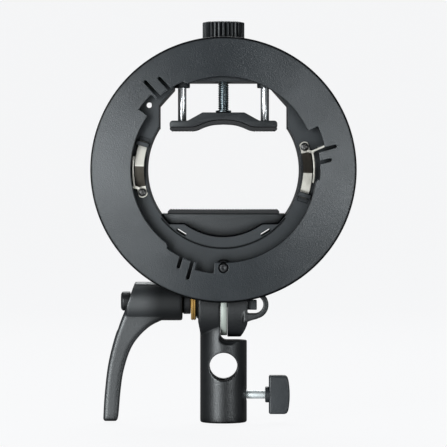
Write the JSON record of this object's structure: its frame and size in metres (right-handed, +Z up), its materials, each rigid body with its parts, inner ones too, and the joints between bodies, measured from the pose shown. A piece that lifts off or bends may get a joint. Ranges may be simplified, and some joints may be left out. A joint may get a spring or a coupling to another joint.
{
  "type": "umbrella swivel bracket",
  "caption": "Bayonet ring with a screw clamp for a small flash, on a tilting stand adapter with an umbrella eye and a ratchet tilt lever.",
  "frame": {"origin": "centre of the stand socket's blind end, on the socket's axis", "axes": "+Z up along the stand socket, away from the stand; -Y out of the bayonet ring's front face; +X to the right seen from the ring's front"},
  "size_m": [0.1548, 0.0564, 0.2353],
  "materials": {
    "black_casting": "fine satin black powder coat",
    "black_plastic": "satin black moulded plastic with a fine grain",
    "rubber": "matt black ribbed rubber",
    "chrome": "polished",
    "spring_steel": "bright rolled strip",
    "steel": "fine turned",
    "zinc": "bright zinc plate",
    "black_steel": "black oxide",
    "brass": "turned"
  },
  "bodies": {
    "stand": {"stand_adapter": "black_casting", "friction_disc": "steel", "brass_washer": "brass"},
    "head": {"swivel_lug": "black_casting", "tilt_nut": "zinc", "lug_screw_left": "black_steel", "lug_screw_right": "black_steel", "housing": "black_plastic", "front_ring": "black_plastic", "ring_screw_1": "black_steel", "ring_screw_2": "black_steel", "ring_screw_3": "black_steel", "ring_screw_4": "black_steel", "leaf_spring_right": "spring_steel", "leaf_spring_left": "spring_steel", "leaf_screw_right": "zinc", "leaf_screw_left": "zinc", "lower_jaw": "black_plastic", "lower_pad": "rubber", "clamp_nut": "brass", "guide_bush_left": "black_plastic", "guide_bush_right": "black_plastic"},
    "jaw": {"upper_jaw": "black_plastic", "upper_pad": "rubber", "guide_rod_left": "chrome", "guide_rod_right": "chrome"},
    "screw": {"clamp_screw": "zinc", "clamp_knob": "black_plastic", "screw_retainer": "zinc"},
    "tilt_stud": {"tilt_bolt": "zinc", "lever_insert": "black_steel", "lever_screw": "black_steel"},
    "lever": {"tilt_lever": "black_casting", "lever_spring": "zinc"},
    "lock_pad": {"stand_lock_pad": "brass"},
    "lock_screw": {"stand_lock_screw": "zinc", "stand_lock_knob": "black_plastic"},
    "ring_pin": {"lock_pin": "zinc", "pin_release_lever": "black_plastic", "lock_pin_spring": "zinc"},
    "grip": {"umbrella_grip_block": "black_plastic", "umbrella_grip_spring": "zinc"}
  },
  "joints": [
    {"name": "tilt", "type": "hinge", "parent": "stand", "child": "head", "pos_m": [0, 0, 0.0264], "axis": [1, 0, 0], "range_deg": [-90, 40]},
    {"name": "jaw_slide", "type": "slide", "parent": "head", "child": "jaw", "axis": [0, 0, 1], "range_m": [0, 0.016]},
    {"name": "knob_turn", "type": "hinge", "parent": "jaw", "child": "screw", "pos_m": [0, 0, 0.1375], "axis": [0, 0, 1], "range_deg": [0, 4536]},
    {"name": "stud_turn", "type": "hinge", "parent": "stand", "child": "tilt_stud", "pos_m": [0, 0, 0.0264], "axis": [1, 0, 0], "range_deg": [-35, 35]},
    {"name": "lever_pull", "type": "slide", "parent": "tilt_stud", "child": "lever", "axis": [-1, 0, 0], "range_m": [0, 0.005], "stiffness_N_per_m": 800, "springref_m": -0.002, "deforming": ["lever_spring"]},
    {"name": "pad_slide", "type": "slide", "parent": "stand", "child": "lock_pad", "axis": [-1, 0, 0], "range_m": [0, 0.004]},
    {"name": "lock_turn", "type": "hinge", "parent": "lock_pad", "child": "lock_screw", "pos_m": [0.0267, 0, -0.0288], "axis": [-1, 0, 0], "range_deg": [0, 1801]},
    {"name": "pin_pull", "type": "slide", "parent": "head", "child": "ring_pin", "axis": [0, 1, 0], "range_m": [0, 0.0035], "stiffness_N_per_m": 400, "springref_m": -0.002, "deforming": ["lock_pin_spring"]},
    {"name": "grip_press", "type": "slide", "parent": "head", "child": "grip", "axis": [-1, 0, 0], "range_m": [0, 0.0045], "stiffness_N_per_m": 300, "springref_m": -0.002, "deforming": ["umbrella_grip_spring"]}
  ],
  "couplings": [
    {"joint": "knob_turn", "follows": "jaw_slide", "rad_per_m": 4947.4},
    {"joint": "lock_turn", "follows": "pad_slide", "rad_per_m": 7854}
  ]
}
